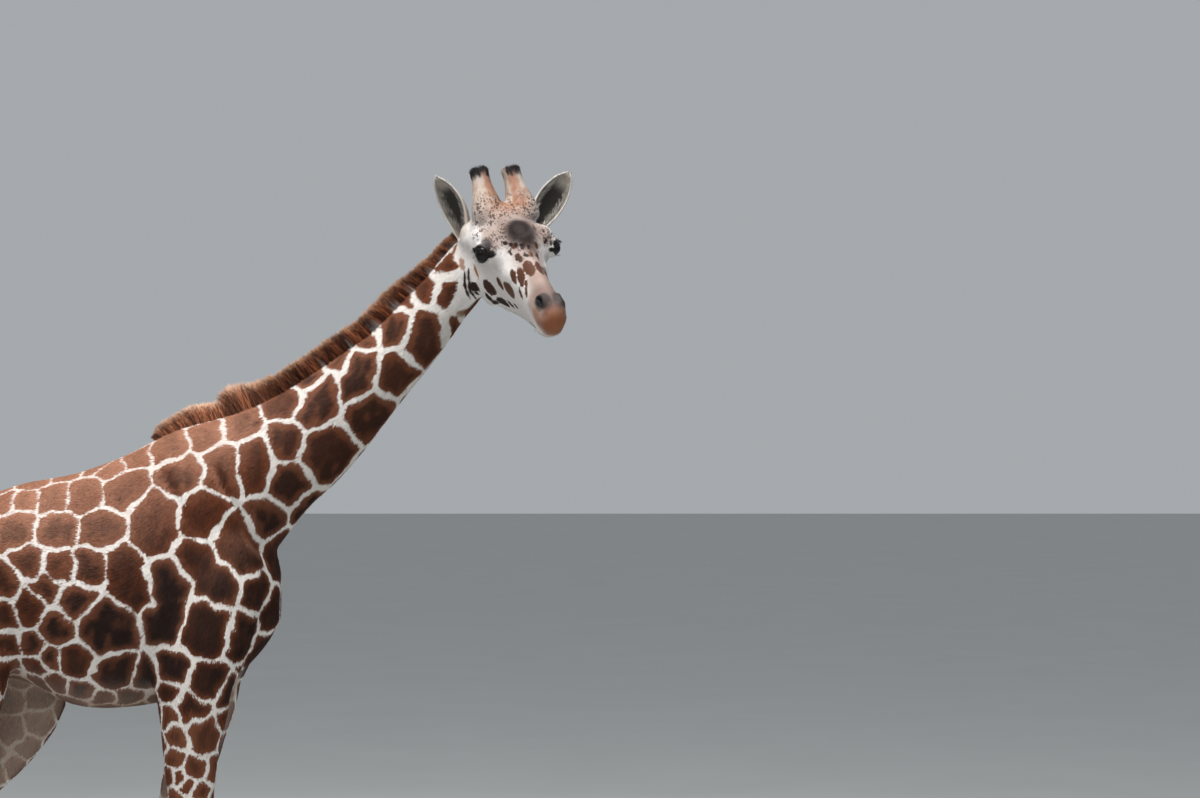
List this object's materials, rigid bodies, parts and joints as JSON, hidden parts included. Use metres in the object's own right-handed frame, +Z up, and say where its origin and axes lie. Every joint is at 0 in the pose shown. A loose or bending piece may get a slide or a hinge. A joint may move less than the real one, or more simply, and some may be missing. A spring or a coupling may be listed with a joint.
{
  "type": "giraffe figure",
  "caption": "Still, life-size young reticulated giraffe that stands on its hooves with its head turned to its right.",
  "frame": {"origin": "on the floor, under the middle of the box around the whole animal", "axes": "+X the way the body faces, +Y the animal's left, +Z up"},
  "size_m": [2.3094, 0.858, 3.1043],
  "materials": {
    "ear_left": "hide with short pale hair and brown marks",
    "ear_right": "hide with short pale hair and brown marks",
    "eye_left": "dark wet eye",
    "eye_right": "dark wet eye",
    "foreleg_left_hoof_a": "horn of a hoof, lightly worn",
    "foreleg_left_hoof_b": "horn of a hoof, lightly worn",
    "foreleg_left_lower": "hide with short pale hair",
    "foreleg_left_upper": "hide with short hair, brown patches parted by pale lines",
    "foreleg_right_hoof_a": "horn of a hoof, lightly worn",
    "foreleg_right_hoof_b": "horn of a hoof, lightly worn",
    "foreleg_right_lower": "hide with short pale hair",
    "foreleg_right_upper": "hide with short hair, brown patches parted by pale lines",
    "head": "hide with short pale hair and brown marks",
    "hindleg_left_hoof_a": "horn of a hoof, lightly worn",
    "hindleg_left_hoof_b": "horn of a hoof, lightly worn",
    "hindleg_left_lower": "hide with short pale hair",
    "hindleg_left_upper": "hide with short hair, brown patches parted by pale lines",
    "hindleg_right_hoof_a": "horn of a hoof, lightly worn",
    "hindleg_right_hoof_b": "horn of a hoof, lightly worn",
    "hindleg_right_lower": "hide with short pale hair",
    "hindleg_right_upper": "hide with short hair, brown patches parted by pale lines",
    "mane": "stiff upright hair",
    "neck": "hide with short hair, brown patches parted by pale lines",
    "ossicone_left": "hide with short hair, brown patches parted by pale lines",
    "ossicone_right": "hide with short hair, brown patches parted by pale lines",
    "tail": "hide with short hair, brown patches parted by pale lines",
    "tail_tassel": "long dark hair",
    "trunk": "hide with short hair, brown patches parted by pale lines"
  },
  "bodies": {
    "root": {"ear_left": "ear_left", "ear_right": "ear_right", "eye_left": "eye_left", "eye_right": "eye_right", "foreleg_left_hoof_a": "foreleg_left_hoof_a", "foreleg_left_hoof_b": "foreleg_left_hoof_b", "foreleg_left_lower": "foreleg_left_lower", "foreleg_left_upper": "foreleg_left_upper", "foreleg_right_hoof_a": "foreleg_right_hoof_a", "foreleg_right_hoof_b": "foreleg_right_hoof_b", "foreleg_right_lower": "foreleg_right_lower", "foreleg_right_upper": "foreleg_right_upper", "head": "head", "hindleg_left_hoof_a": "hindleg_left_hoof_a", "hindleg_left_hoof_b": "hindleg_left_hoof_b", "hindleg_left_lower": "hindleg_left_lower", "hindleg_left_upper": "hindleg_left_upper", "hindleg_right_hoof_a": "hindleg_right_hoof_a", "hindleg_right_hoof_b": "hindleg_right_hoof_b", "hindleg_right_lower": "hindleg_right_lower", "hindleg_right_upper": "hindleg_right_upper", "mane": "mane", "neck": "neck", "ossicone_left": "ossicone_left", "ossicone_right": "ossicone_right", "tail": "tail", "tail_tassel": "tail_tassel", "trunk": "trunk"}
  },
  "joints": []
}
